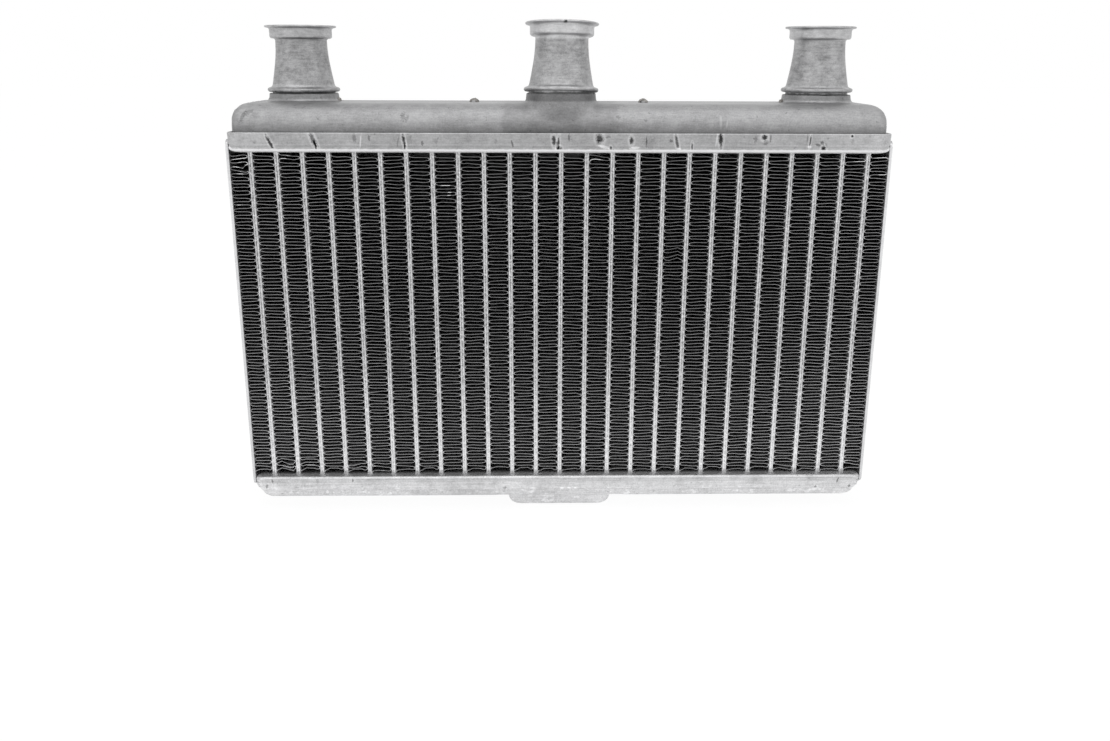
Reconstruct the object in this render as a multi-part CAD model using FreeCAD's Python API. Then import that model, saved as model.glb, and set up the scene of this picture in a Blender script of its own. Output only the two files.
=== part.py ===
import FreeCAD, Part
import math
import os

# Heater core of brazed aluminium, in millimetres.
# X runs across the core, Y from its front face to its back, and Z up.
# The origin is on the flat underside of the foot, in the middle of the core's width and depth.

# Fits, all filled by braze on the real core
fit_gap = 0.05          # between a sheet and the sheet it nests in
slot_gap = 0.05         # all round a tube in its header slot, and round a spigot in its collar
tube_end_gap = 0.3      # from the nose of a tube's end to the wall of the tank

# Core of flat tubes and folded fins
tube_count = 25
tube_pitch = 10.0
tube_thickness = 2.0
tube_depth = 42.0
tube_wall = 0.4
tube_reach = 2.5        # how far a tube end stands past its header plate, inside the tank
bow_chords = 3          # flats that stand for the bow of a tube's nose or of a baffle's corner
core_height = 133.3     # clear height between the two header plates
outer_fin_height = 6.9  # the fins next to the side plates are squeezed flatter than the rest
fin_folds = 18          # slanting legs in one column
fin_foil = 0.2
fin_setback = 0.6       # from the front of the tubes to the front edge of the fins
fin_end_gap = 0.5       # between the last fold and the header plate

# Header plates
header_sheet = 1.5
header_bend = 2.2       # outer radius of the bends all round
top_flange_height = 7.5  # turned edge of the top header, over its bend
bottom_flange_height = 5.8

# Side plates
plate_sheet = 1.2
plate_overlap = 4.7     # how far a side plate laps the end of each header

# Top tank
tank_sheet = 1.5
tank_rise = 10.6        # crown of the tank above the edge of the header's flange
tank_shoulder = 9.5     # outer radius of the long shoulders
tank_end_radius = 7.5   # outer radius of the two ends
collar_sheet = 1.2
collar_height = 3.4     # rim of a drawn collar above the crown

# Necks
round_flats = 24        # flats round a neck and its collar. Only the cup's bore is truly round.
neck_spacing = 103.5    # from the middle of the core to the side necks
side_neck_back = 4.5    # side necks, behind the middle of the depth
centre_neck_front = 8.5  # centre neck, in front of the middle of the depth
neck_wall = 1.2
spigot_radius = 12.3    # also the radius of the neck's foot, just over its bead
spigot_reach = 5.5      # below the collar's rim
bead_radius = 14.6
bead_height = 2.0
bead_edge = 1.2         # upright part of the bead's rim
waist_radius = 11.0
waist_height = 9.0      # above the collar's rim
throat_radius = 10.0    # outside of the straight part under the cup
throat_height = 16.0    # where the straight part starts, above the collar's rim
cup_radius = 12.1
cup_foot = 21.2         # underside of the cup, above the collar's rim
cup_height = 5.1        # from the underside of the cup to the top of its flange
clamp_flange_radius = 14.2
clamp_flange_thickness = 0.9

# Baffles in the top tank
baffle_sheet = 1.5
baffle_left = 34.5      # from the middle to the left baffle
baffle_right = 32.0     # from the middle to the right baffle
tab_length = 6.0
tab_height = 0.8        # above the crown, where the tab shows

# Bottom tank
pan_rise = 4.4          # underside of the pan below the edge of the header's flange
pan_shoulder = 2.6
pan_end_radius = 6.5
foot_width = 44.0
foot_depth = 36.0
foot_drop = 6.6         # underside of the foot below the pan
foot_shoulder = 4.0
foot_end_radius = 5.0

# Heights, from the foot up
pan_bottom_z = foot_drop
bottom_flange_z = pan_bottom_z + pan_rise
core_bottom_z = bottom_flange_z + bottom_flange_height
core_top_z = core_bottom_z + core_height
top_flange_z = core_top_z + top_flange_height
crown_z = top_flange_z + tank_rise
rim_z = crown_z + collar_height

# Widths and depths that follow
bend_clearance = (header_bend - header_sheet) * (1 - math.sqrt(0.5))
nest_gap = fit_gap + bend_clearance     # keeps a tank's square rim off the header's rounded bends
tube_span = (tube_count - 1) * tube_pitch
core_width = tube_span + tube_thickness + 2 * outer_fin_height
header_width = core_width - 2 * fit_gap
tank_width = header_width - 2 * (header_sheet + nest_gap)
tank_depth = tube_depth + 2 * (tube_end_gap + tank_sheet)
header_depth = tank_depth + 2 * (nest_gap + header_sheet)
collar_bore = spigot_radius + slot_gap
collar_radius = collar_bore + collar_sheet
tank_rim_z = core_top_z + header_sheet + nest_gap
pan_rim_z = core_bottom_z - header_sheet - nest_gap

# Places of the necks: name, X and Y
neck_places = {
    "left": (-neck_spacing, side_neck_back),
    "centre": (0.0, -centre_neck_front),
    "right": (neck_spacing, side_neck_back),
}
baffle_places = [-baffle_left, baffle_right]


def box(width, depth, height, x=0.0, y=0.0, z=0.0):
    """A block centred on x and y, standing on z."""
    corner = FreeCAD.Vector(x - width / 2, y - depth / 2, z)
    return Part.makeBox(width, depth, height, corner)


def flat_face(corners):
    return Part.Face(Part.makePolygon(corners + corners[:1]))


def prism(points, way):
    """A closed outline of points, extruded along way."""
    return flat_face(points).extrude(way)


def arched_outline(half_width, height, radius, place):
    """Face of a rectangle standing on zero whose two upper corners are rounded.

    place turns a distance across and a height into a point in space.
    """
    slant = radius * math.sqrt(0.5)
    low_left = place(-half_width, 0.0)
    left = place(-half_width, height - radius)
    left_bow = place(-half_width + radius - slant, height - radius + slant)
    top_left = place(-half_width + radius, height)
    top_right = place(half_width - radius, height)
    right_bow = place(half_width - radius + slant, height - radius + slant)
    right = place(half_width, height - radius)
    low_right = place(half_width, 0.0)
    edges = [
        Part.makeLine(low_left, left),
        Part.Arc(left, left_bow, top_left).toShape(),
        Part.makeLine(top_left, top_right),
        Part.Arc(top_right, right_bow, right).toShape(),
        Part.makeLine(right, low_right),
        Part.makeLine(low_right, low_left),
    ]
    return Part.Face(Part.Wire(edges))


def pressed_form(width, depth, height, shoulder, end_radius):
    """A solid with the outside of a pressing: its long section trimmed by its end section."""
    section = arched_outline(depth / 2, height, shoulder, lambda y, z: FreeCAD.Vector(-width / 2, y, z))
    ends = arched_outline(width / 2, height, end_radius, lambda x, z: FreeCAD.Vector(x, -depth / 2, z))
    along = section.extrude(FreeCAD.Vector(width, 0, 0))
    across = ends.extrude(FreeCAD.Vector(0, depth, 0))
    return along.common(across)


def pressing_cavity(width, depth, height, shoulder, end_radius, sheet):
    """The hollow of a pressing, one sheet thickness inside pressed_form of the same sizes."""
    inner_width = width - 2 * sheet
    inner_depth = depth - 2 * sheet
    return pressed_form(inner_width, inner_depth, height - sheet, shoulder - sheet, end_radius - sheet)


def moved(shape, x=0.0, y=0.0, z=0.0):
    """A copy of the shape, moved."""
    copy = shape.copy()
    copy.translate(FreeCAD.Vector(x, y, z))
    return copy


def turned_over(shape):
    """A copy of the shape, half a turn about the X axis."""
    copy = shape.copy()
    copy.rotate(FreeCAD.Vector(0, 0, 0), FreeCAD.Vector(1, 0, 0), 180)
    return copy


def tube_positions():
    return [-tube_span / 2 + i * tube_pitch for i in range(tube_count)]


def bow_points(across, up, radius, start, end):
    """Points on an arc about (across, up), from one angle in degrees to another."""
    angles = [math.radians(start + (end - start) * i / bow_chords) for i in range(bow_chords + 1)]
    return [(across + radius * math.cos(a), up + radius * math.sin(a)) for a in angles]


def tube_section():
    """Points round a flat tube, with both noses made of chords."""
    radius = tube_thickness / 2
    flat = tube_depth / 2 - radius
    return bow_points(0, flat, radius, 0, 180) + bow_points(0, -flat, radius, 180, 360)


def tube(x):
    bottom_z = core_bottom_z - header_sheet - tube_reach
    top_z = core_top_z + header_sheet + tube_reach
    length = FreeCAD.Vector(0, 0, top_z - bottom_z)
    outside = prism([FreeCAD.Vector(a, b, bottom_z) for a, b in tube_section()], length)
    bore = box(tube_thickness - 2 * tube_wall, tube_depth - 2 * tube_thickness, length.z, z=bottom_z)
    return moved(outside.cut(bore), x)


def fin_columns():
    """Left and right side of each column between the tubes and outside the end ones."""
    half = tube_thickness / 2
    tubes = tube_positions()
    lefts = [-core_width / 2] + [x + half for x in tubes]
    rights = [x - half for x in tubes] + [core_width / 2]
    return list(zip(lefts, rights))


def fin(left, right):
    """A strip of foil folded from side to side up the column, its crests against the tubes."""
    bottom_z = core_bottom_z + fin_end_gap
    step = (core_height - 2 * fin_end_gap) / fin_folds
    slope = math.atan2(step, right - left)
    across = fin_foil / math.sin(slope)
    front = -tube_depth / 2 + fin_setback
    near = []
    far = []
    for i in range(fin_folds + 1):
        x = (left, right - across)[i % 2]
        z = bottom_z + i * step
        near.append(FreeCAD.Vector(x, front, z))
        far.append(FreeCAD.Vector(x + across, front, z))
    return prism(near + far[::-1], FreeCAD.Vector(0, tube_depth - 2 * fin_setback, 0))


def tube_slots(bottom_z):
    """Blocks that cut the tubes' slots through a header plate whose underside is at bottom_z."""
    width = tube_thickness + 2 * slot_gap
    depth = tube_depth + 2 * slot_gap
    return [box(width, depth, header_sheet, x, 0.0, bottom_z) for x in tube_positions()]


def header_tray(flange_height):
    """A header with its flange down and its flat plate on top, its flange's edge on zero."""
    sizes = (header_width, header_depth, flange_height, header_bend, header_bend)
    return pressed_form(*sizes).cut(pressing_cavity(*sizes, header_sheet))


def bottom_header():
    tray = moved(header_tray(bottom_flange_height), z=bottom_flange_z)
    return tray.cut(Part.makeCompound(tube_slots(core_bottom_z - header_sheet)))


def top_header():
    tray = moved(turned_over(header_tray(top_flange_height)), z=top_flange_z)
    return tray.cut(Part.makeCompound(tube_slots(core_top_z)))


def side_plate(side):
    """A flat plate that laps the ends of both headers. side is -1 for the left one."""
    height = core_height + 2 * plate_overlap
    x = side * (core_width + plate_sheet) / 2
    return box(plate_sheet, tube_depth, height, x, 0.0, core_bottom_z - plate_overlap)


def tank_sizes():
    height = crown_z - tank_rim_z
    return (tank_width, tank_depth, height, tank_shoulder, tank_end_radius)


def baffle_tab(x, gap):
    """The tab that holds a baffle in the crown, or with a gap the slot for it."""
    height = tank_sheet + tab_height
    return box(baffle_sheet + 2 * gap, tab_length + 2 * gap, height, x, 0.0, crown_z - tank_sheet)


def frustum(low_radius, low_z, high_radius, high_z):
    """A round length made of flats, straight or tapered."""
    turns = [2 * math.pi * i / round_flats for i in range(round_flats)]
    low = [FreeCAD.Vector(low_radius * math.cos(a), low_radius * math.sin(a), low_z) for a in turns]
    high = [FreeCAD.Vector(high_radius * math.cos(a), high_radius * math.sin(a), high_z) for a in turns]
    faces = [flat_face(low[::-1]), flat_face(high)]
    for i in range(round_flats):
        faces.append(flat_face([low[i - 1], low[i], high[i], high[i - 1]]))
    return Part.makeSolid(Part.makeShell(faces))


def turned(profile):
    """A round solid from the (radius, height) pairs of its outside, going up."""
    stages = []
    for (low_radius, low_z), (high_radius, high_z) in zip(profile, profile[1:]):
        if high_z > low_z:
            stages.append(frustum(low_radius, low_z, high_radius, high_z))
    return stages[0].fuse(stages[1:]).removeSplitter()


def top_tank():
    """A pressed trough with three drawn collars, nested in the top header."""
    body = moved(pressed_form(*tank_sizes()), z=tank_rim_z)
    cavity = moved(pressing_cavity(*tank_sizes(), tank_sheet), z=tank_rim_z)
    root_z = crown_z - tank_shoulder
    for x, y in neck_places.values():
        body = body.fuse(moved(frustum(collar_radius, root_z, collar_radius, rim_z), x, y))
        cavity = cavity.fuse(moved(frustum(collar_bore, root_z, collar_bore, rim_z), x, y))
    for x in baffle_places:
        cavity = cavity.fuse(baffle_tab(x, slot_gap))
    return body.cut(cavity)


def baffle(x):
    """A wall across the inside of the top tank, standing on the header plate between two tubes."""
    inset = tank_sheet + fit_gap
    radius = tank_shoulder - inset
    half = tank_depth / 2 - inset
    top_z = crown_z - inset
    bottom_z = core_top_z + header_sheet
    bows = bow_points(half - radius, top_z - radius, radius, 0, 90)
    bows += bow_points(radius - half, top_z - radius, radius, 90, 180)
    outline = [(half, bottom_z)] + bows + [(-half, bottom_z)]
    points = [FreeCAD.Vector(x - baffle_sheet / 2, y, z) for y, z in outline]
    wall = prism(points, FreeCAD.Vector(baffle_sheet, 0, 0))
    root = box(baffle_sheet, tab_length, fit_gap, x, 0.0, top_z)
    return wall.fuse([root, baffle_tab(x, 0.0)]).removeSplitter()


def neck(x, y):
    """A spigot with its bead, waist, seal cup and clamp flange, standing on a collar's rim."""
    top = cup_foot + cup_height
    floor = cup_foot + neck_wall
    outside = [
        (spigot_radius, -spigot_reach),
        (spigot_radius, 0.0),
        (bead_radius, 0.0),
        (bead_radius, bead_edge),
        (spigot_radius, bead_height),
        (waist_radius, waist_height),
        (throat_radius, throat_height),
        (throat_radius, cup_foot),
        (cup_radius, cup_foot),
        (cup_radius, top - clamp_flange_thickness),
        (clamp_flange_radius, top - clamp_flange_thickness),
        (clamp_flange_radius, top),
    ]
    passage = [
        (spigot_radius - neck_wall, -spigot_reach),
        (spigot_radius - neck_wall, 0.0),
        (throat_radius - neck_wall, throat_height),
        (throat_radius - neck_wall, floor),
    ]
    cup = Part.makeCylinder(cup_radius - neck_wall, top - floor, FreeCAD.Vector(0, 0, floor))
    return moved(turned(outside).cut([turned(passage), cup]), x, y, rim_z)


def bottom_tank():
    """A shallow pressed pan with a drawn foot, nested in the bottom header."""
    pan_height = pan_rim_z - pan_bottom_z
    pan = (tank_width, tank_depth, pan_height, pan_shoulder, pan_end_radius)
    foot = (foot_width, foot_depth, foot_drop + pan_height, foot_shoulder, foot_end_radius)
    body = pressed_form(*pan).fuse(pressed_form(*foot))
    cavity = pressing_cavity(*pan, tank_sheet).fuse(pressing_cavity(*foot, tank_sheet))
    return moved(turned_over(body.cut(cavity)), z=pan_rim_z)


def sub_parts():
    """Every piece of the core by name. The two side plates share a name, and so do the two baffles."""
    pieces = {
        "top_tank": top_tank(),
        "top_header": top_header(),
        "bottom_header": bottom_header(),
        "bottom_tank": bottom_tank(),
        "side_plates": Part.makeCompound([side_plate(-1), side_plate(1)]),
        "baffles": Part.makeCompound([baffle(x) for x in baffle_places]),
    }
    for number, x in enumerate(tube_positions(), 1):
        pieces[f"tube_{number:02d}"] = tube(x)
    for number, (left, right) in enumerate(fin_columns(), 1):
        pieces[f"fin_{number:02d}"] = fin(left, right)
    for name, (x, y) in neck_places.items():
        pieces[f"neck_{name}"] = neck(x, y)
    return pieces


os.makedirs("parts", exist_ok=True)
for name, shape in sub_parts().items():
    shape.exportStep(f"parts/{name}.step")
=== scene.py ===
import math
import random

import bmesh
import bpy
from mathutils import Matrix, Vector

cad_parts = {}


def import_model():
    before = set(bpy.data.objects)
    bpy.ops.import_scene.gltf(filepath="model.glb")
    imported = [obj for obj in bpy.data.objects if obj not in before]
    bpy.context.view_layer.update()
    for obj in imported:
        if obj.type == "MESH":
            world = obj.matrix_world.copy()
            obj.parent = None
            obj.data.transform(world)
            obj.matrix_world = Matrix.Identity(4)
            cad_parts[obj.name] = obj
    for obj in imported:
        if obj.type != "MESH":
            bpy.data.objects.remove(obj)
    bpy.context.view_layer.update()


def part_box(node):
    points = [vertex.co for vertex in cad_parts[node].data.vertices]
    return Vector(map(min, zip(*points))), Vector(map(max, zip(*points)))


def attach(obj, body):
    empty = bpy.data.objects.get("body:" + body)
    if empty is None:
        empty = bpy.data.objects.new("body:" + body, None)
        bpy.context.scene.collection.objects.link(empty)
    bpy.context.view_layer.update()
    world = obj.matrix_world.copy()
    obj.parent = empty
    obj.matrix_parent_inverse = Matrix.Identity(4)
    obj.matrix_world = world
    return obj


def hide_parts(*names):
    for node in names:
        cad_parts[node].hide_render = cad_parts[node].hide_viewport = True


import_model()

# Sizes in metres. mm turns a size in millimetres into one.
mm = 0.001

# Sheets and fits, as on the solids
header_sheet = 1.5 * mm
tank_sheet = 1.5 * mm
baffle_sheet = 1.5 * mm
plate_sheet = 1.2 * mm
collar_sheet = 1.2 * mm
collar_bore = 12.35 * mm
collar_height = 3.4 * mm
spigot_reach = 5.5 * mm

# Header pressing
header_front_bend = 1.6 * mm
header_end_bend = 3.2 * mm
header_corner = 3.0 * mm
crease_depth = 0.16 * mm
crease_height = 2.85 * mm     # from the flat plate to the crease over the bend
flange_lean = 0.25 * mm       # how far the flange's edge stands out past the crease
edge_round = 0.25 * mm        # bevel of the flange's edge
corner_cuts = [(2.6 * mm, 1.1 * mm), (1.7 * mm, 1.3 * mm)]  # the lower header's ends: reach in, and upward

# Tanks
tank_shoulder = 9.5 * mm
tank_end_bow = 5.6 * mm
tank_corner = 2.6 * mm
pan_shoulder = 2.6 * mm
pan_end_bow = 5.0 * mm
foot_drop = 6.6 * mm
foot_half_width = 22.0 * mm
foot_half_depth = 18.0 * mm
foot_shoulder = 4.0 * mm
foot_end_bow = 5.0 * mm
skin_grain = 0.9 * mm         # size of the mesh that a drawn skin is remade with
skin_trim = 0.1 * mm          # cut off a drawn skin's rim, to make it sharp
collar_trim = 0.35 * mm       # cut off a collar's rim
collar_root = 5.0 * mm        # how far a collar goes into the tank before they are fused

# Tubes and fins
tube_count = 25
tube_half_depth = 21.0 * mm
tube_pitch = 10.0 * mm
tube_wall = 0.3 * mm
tube_flats = 28
nose_groove = 0.16 * mm
braze_fillet = 0.45 * mm
leg_count = 98                # legs of foil in one column of fins
leg_front = -19.0 * mm        # only the part of a leg before this Y is bent by hand
leg_pitch = 1.34 * mm
foil = 0.17 * mm
first_leg = 0.9 * mm          # from the top header down to the first fold
wave_height = 0.68 * mm       # how unevenly the legs lie

# Necks
ring_flats = 96
centre_lean = 4.0             # degrees, backwards
centre_side_lean = 0.8        # degrees, to the right
side_neck_height = 0.965      # the side necks are a little shorter than the centre one
centre_neck_size = (1.03, 1.03, 0.99)
neck_drift = {"neck_left": 0.7 * mm, "neck_centre": 0.1 * mm, "neck_right": 0.7 * mm}
collar_lift = {"neck_left": 0.0, "neck_centre": 0.7 * mm, "neck_right": 0.0}
neck_stand = {"neck_left": 0.0, "neck_centre": 0.6 * mm, "neck_right": 0.5 * mm}   # off its collar

# Baffles
baffle_drift = 1.2 * mm       # how far the right baffle stands out of its place
baffle_half_depth = 20.0 * mm
baffle_top = 2.6 * mm         # from the top of the tab down to the top of the wall
tab_half_length = 3.0 * mm

# Camera: its place, the lens for a sensor 36 wide, and its angles
camera_place = (-11.47 * mm, -432.8 * mm, 185.7 * mm)
camera_lens = 33.926
camera_tilt = 16.71           # degrees below level
camera_yaw = -0.02280         # radians, above zero to the left
camera_roll = 0.00418         # radians

# Light: what the white ground and the surroundings give
floor_glow = 1.08
floor_glow_share = 0.85       # how much of the ground's look is its glow
soft_light = 0.6              # what the surroundings give to dull surfaces
seen_light = 1.0              # what the camera and bare metal see of them

random.seed(26)


class Wire:
    """A socket of a finish that can be added, taken away and multiplied as a number can."""

    def __init__(self, finish, socket):
        self.finish = finish
        self.socket = socket

    def __add__(self, other):
        return self.finish.math("ADD", self, other)

    def __radd__(self, other):
        return self.finish.math("ADD", other, self)

    def __sub__(self, other):
        return self.finish.math("SUBTRACT", self, other)

    def __rsub__(self, other):
        return self.finish.math("SUBTRACT", other, self)

    def __mul__(self, other):
        return self.finish.math("MULTIPLY", self, other)

    def __rmul__(self, other):
        return self.finish.math("MULTIPLY", other, self)

    def size(self):
        """The number without its sign."""
        return self.finish.node("ShaderNodeMath", {"operation": "ABSOLUTE"}, [self])


class Finish:
    """A material with a Principled shader whose inputs are numbers or wires."""

    def __init__(self, name):
        self.material = bpy.data.materials.new(name)
        self.material.use_nodes = True
        self.tree = self.material.node_tree
        self.shader = self.tree.nodes["Principled BSDF"]

    def node(self, kind, settings, inputs, output=0):
        """A new node. inputs is a list in the order of its sockets, or a dict by name."""
        made = self.tree.nodes.new(kind)
        for key, value in settings.items():
            setattr(made, key, value)
        pairs = inputs.items() if isinstance(inputs, dict) else enumerate(inputs)
        for key, value in pairs:
            self.feed(made.inputs[key], value)
        return Wire(self, made.outputs[output])

    def feed(self, socket, value):
        if isinstance(value, Wire):
            self.tree.links.new(value.socket, socket)
        else:
            socket.default_value = value

    def math(self, operation, first, second):
        return self.node("ShaderNodeMath", {"operation": operation}, [first, second])

    def place(self, scale=(1, 1, 1), shift=(0, 0, 0)):
        """Object coordinates in metres, shifted and then scaled for a pattern."""
        where = self.node("ShaderNodeTexCoord", {}, {}, "Object")
        moved = self.node("ShaderNodeMapping", {}, {"Vector": where, "Location": shift})
        return self.node("ShaderNodeMapping", {}, {"Vector": moved, "Scale": scale})

    def noise(self, scale, detail=2.0, rough=0.5, stretch=(1, 1, 1), shift=(0, 0, 0)):
        where = self.place(stretch, shift)
        inputs = {"Vector": where, "Scale": scale, "Detail": detail, "Roughness": rough}
        return self.node("ShaderNodeTexNoise", {}, inputs)

    def step(self, value, low, high):
        """0 below low and 1 above high, with a soft step between."""
        inputs = {"Value": value, "From Min": low, "From Max": high}
        return self.node("ShaderNodeMapRange", {"interpolation_type": "SMOOTHSTEP"}, inputs)

    def grey(self, value, tint=(1, 1, 1)):
        """A colour as light as value."""
        channels = [value * part for part in tint]
        return self.node("ShaderNodeCombineColor", {}, channels)

    def set(self, **inputs):
        for key, value in inputs.items():
            self.feed(self.shader.inputs[key.replace("_", " ")], value)
        return self.material

    def part(self, axis):
        """One of the object coordinates, in metres."""
        where = self.node("ShaderNodeTexCoord", {}, {}, "Object")
        return self.node("ShaderNodeSeparateXYZ", {}, [where], axis)

    def line(self, value, place, half):
        """1 where value is at place, falling to 0 as far as half away on both sides."""
        return 1.0 - self.step((value - place).size(), 0.0, half)

    def from_tube(self):
        """Distance across the core from the middle of the nearest tube."""
        half = tube_pitch / 2
        return self.node("ShaderNodeMath", {"operation": "WRAP"}, [self.part("X"), -half, half]).size()

    def metal(self, light, rough, height, relief, tint=(1.0, 1.0, 1.012)):
        """Bare metal as light as given, with a relief of the given height."""
        inputs = {"Height": height, "Distance": relief, "Strength": 0.6}
        return self.set(Base_Color=self.grey(light, tint), Metallic=0.85, Roughness=rough,
                        Normal=self.node("ShaderNodeBump", {}, inputs))


def aluminium(finish, streak=(1, 6, 6), contrast=1.0):
    """The clouds, rolling streaks, grain and pits of brazed aluminium: how light it is, and its height."""
    clouds = finish.noise(70, 3.0, 0.55)
    blots = finish.noise(300, 3.0, 0.65, shift=(3, 1, 2))
    lines = finish.noise(260, 3.0, 0.6, stretch=streak)
    grain = finish.noise(1700, 3.0, 0.8)
    light = 1.0 + (clouds - 0.5) * (0.40 * contrast) + (blots - 0.5) * (0.42 * contrast)
    light = light + (lines - 0.5) * (0.50 * contrast) + (grain - 0.5) * (0.75 * contrast)
    pits = finish.step(finish.noise(620, 1.0, 0.5, shift=(7, 3, 5)), 0.68, 0.78)
    light = light * (1.0 - pits * 0.3)
    height = grain * 0.6 + lines * 0.5 + blots * 0.8
    return light, height


def marks_on(finish, marks):
    """How dark and how pale a front face is with marks, given as x, z, length, width, turn and strength.

    Sizes are in millimetres. A strength below zero makes a pale mark, and a strong dark one has a pale halo.
    """
    where = finish.place()
    ragged = (finish.noise(1700, 3.0, 0.8) - 0.5) * 2.6
    front = 1.0 - finish.step(finish.part("Y"), -20 * mm, -19 * mm)
    dark, pale = 0.0, 0.0
    for x, z, long, wide, turn, strength in marks:
        inputs = {"Vector": where, "Location": (x * mm, 0, z * mm), "Rotation": (0, math.radians(turn), 0),
                  "Scale": (wide / 2 * mm, 1000, long / 2 * mm)}
        near = finish.node("ShaderNodeMapping", {"vector_type": "TEXTURE"}, inputs)
        reach = finish.node("ShaderNodeVectorMath", {"operation": "LENGTH"}, [near], "Value")
        mark = 1.0 - finish.step(reach + ragged, 0.75, 1.45)
        if strength > 0:
            dark = dark + mark * strength
        else:
            pale = pale - mark * strength
        if strength > 0.6:
            pale = pale + finish.line(reach + ragged, 2.1, 0.9) * 0.28
    return dark * front, pale * front


def tank_finish():
    """Aluminium sheet with painted shade along the seam where the tank stands in its header, on the collars,
    around the centre neck's foot and across the shoulder.
    """
    finish = Finish("tank_aluminium")
    light, height = aluminium(finish)
    z = finish.part("Z")
    # Painted shade: darker along the seam, where the tank stands in the header's flange and the flange's edge
    # shades it.
    seam = 1.0 - finish.step(z + (finish.noise(160) - 0.5) * (3 * mm), 157.5 * mm, 162.5 * mm)
    # Painted shade on the collars, under the beads of the necks.
    drawn = finish.step(z, 168.9 * mm, 169.6 * mm)
    # Painted shade on the tank around the centre neck's foot, its edge made ragged by clouds.
    cloud = (finish.noise(160, 3.0, 0.7, shift=(5, 2, 1)) - 0.5) * (14 * mm)
    centre_neck_shade = 1.0 - finish.step((finish.part("X") + 0.2 * mm + cloud).size(), 19.7 * mm, 24.7 * mm)
    # Painted shade across the shoulder, that dims the top lamp's highlight there.
    shoulder = finish.line(z, 164.5 * mm, 4.5 * mm)
    light = light * (0.355 - seam * 0.14 - drawn * 0.11 - centre_neck_shade * 0.075 - shoulder * 0.03)
    dark, pale = marks_on(finish, tank_marks)
    light = light * (1.0 - dark) + pale * 0.3
    return finish.metal(light, 0.46, height, 0.05 * mm)


def header_finish():
    """Aluminium sheet with a painted highlight on the lip, painted shade and highlights along the crease over
    the bend and the flange's top edge, and marks of brazing repairs.
    """
    finish = Finish("header_aluminium")
    light, height = aluminium(finish, contrast=1.1)
    z = finish.part("Z")
    dark, pale = marks_on(finish, header_marks)
    light = light * (0.40 + finish.step(finish.part("X").size(), 95 * mm, 122 * mm) * 0.09)
    # Painted shade and a painted highlight along the crease over the bend, and a painted highlight along the
    # flange's top edge.
    light = light * (1.0 - finish.line(z, 152.45 * mm, 0.35 * mm) * 0.16)
    light = light + finish.line(z, 153.2 * mm, 0.35 * mm) * 0.07
    light = light + finish.line(z, 157.45 * mm, 0.25 * mm) * 0.04
    light = light * (1.0 - dark) + pale * 0.5
    # Painted highlight on the lip at the flange's foot: paler and less metallic, for the white floor's light
    # that the bend catches; it reaches higher toward the ends.
    end = finish.math("MAXIMUM", finish.part("X").size() - 125.4 * mm, 0.0)
    lip = 1.0 - finish.step(z - end * 0.5 + (finish.noise(500) - 0.5) * (0.5 * mm), 151.2 * mm, 151.8 * mm)
    light = light + lip * (0.95 - light)
    finish.metal(light, 0.42, height, 0.05 * mm)
    return finish.set(Metallic=0.85 - lip * 0.45)


def lower_finish():
    """Aluminium sheet painted paler for the white floor's light, streaked along the bend, with painted shade
    under the fins and along the bend.
    """
    finish = Finish("lower_header_aluminium")
    light, height = aluminium(finish, streak=(0.35, 8, 8), contrast=1.25)
    z = finish.part("Z")
    # Painted light: paler than the top header, and paler still toward the bottom, for the white floor's
    # light.
    light = light * (0.61 + (1.0 - finish.step(z, 11 * mm, 14.5 * mm)) * 0.07)
    # Painted shade on the plate's top under the fins, with a ragged edge.
    fringe = (finish.noise(420) - 0.5) * (0.9 * mm)
    depth = finish.part("Y").size() + fringe
    fin_shade = (1.0 - finish.step(depth, 16.0 * mm, 21.6 * mm)) * finish.step(z, 16.2 * mm, 16.5 * mm)
    light = light * (1.0 - fin_shade * 0.55)
    # Painted shade: two dark lines along the bend, the upper one dimming its highlight.
    bend = finish.line(z, 16.65 * mm, 0.34 * mm) * finish.step(depth, 22.1 * mm, 22.5 * mm)
    light = light * (1.0 - bend * 0.36)
    light = light * (1.0 - finish.line(z, 15.5 * mm, 0.36 * mm) * 0.15)
    scuffs = finish.step(finish.noise(480, 2.0, 0.6, stretch=(0.6, 1, 1)), 0.56, 0.66)
    light = light + scuffs * (1.0 - finish.step(z, 10.5 * mm, 13.5 * mm)) * 0.16
    dark, pale = marks_on(finish, low_marks)
    light = light * (1.0 - dark) + pale * 0.4
    return finish.metal(light, 0.45, height, 0.05 * mm)


def tube_finish():
    """Extruded tube with a darker seam down its nose, jagged with braze, painted lighter toward the bottom,
    with painted shade at its foot.
    """
    finish = Finish("tube_aluminium")
    grain = finish.noise(1600, 3.0, 0.7)
    braze = finish.noise(800, 2.0, 0.7, stretch=(2, 2, 1))
    z = finish.part("Z")
    off = finish.from_tube()
    light = 0.67 + (grain - 0.5) * 1.50 + (braze - 0.5) * 0.55
    # Painted light: lighter toward the bottom, for the white floor's light.
    light = light + (1.0 - finish.step(z, 15 * mm, 75 * mm)) * 0.22
    seam = 1.0 - finish.step(off + (braze - 0.5) * (0.35 * mm), 0.10 * mm, 0.42 * mm)
    beads = finish.step(finish.noise(1900, 1.0, 0.5, shift=(2, 5, 3)), 0.38, 0.60)
    light = light * (1.0 - seam * (0.12 + beads * 0.50) * (0.45 + finish.step(z, 20 * mm, 90 * mm) * 0.55))
    # Painted shade at the tube's foot, under the fins by the lower header.
    foot = 1.0 - finish.step(z + (braze - 0.5) * (0.8 * mm), 17.0 * mm, 18.6 * mm)
    light = light * (1.0 - foot * 0.62)
    return finish.metal(light, 0.42, grain * 1.0 - seam * 0.8, 0.06 * mm)


def plate_finish():
    """Rolled sheet of the core's sides, paler along its edges."""
    finish = Finish("side_plate_aluminium")
    light, height = aluminium(finish, streak=(1, 8, 0.5), contrast=0.6)
    edge = finish.step(finish.part("Y").size(), 20.3 * mm, 20.8 * mm)
    return finish.metal(light * (0.46 + edge * 0.26), 0.45, height, 0.05 * mm)


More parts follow.
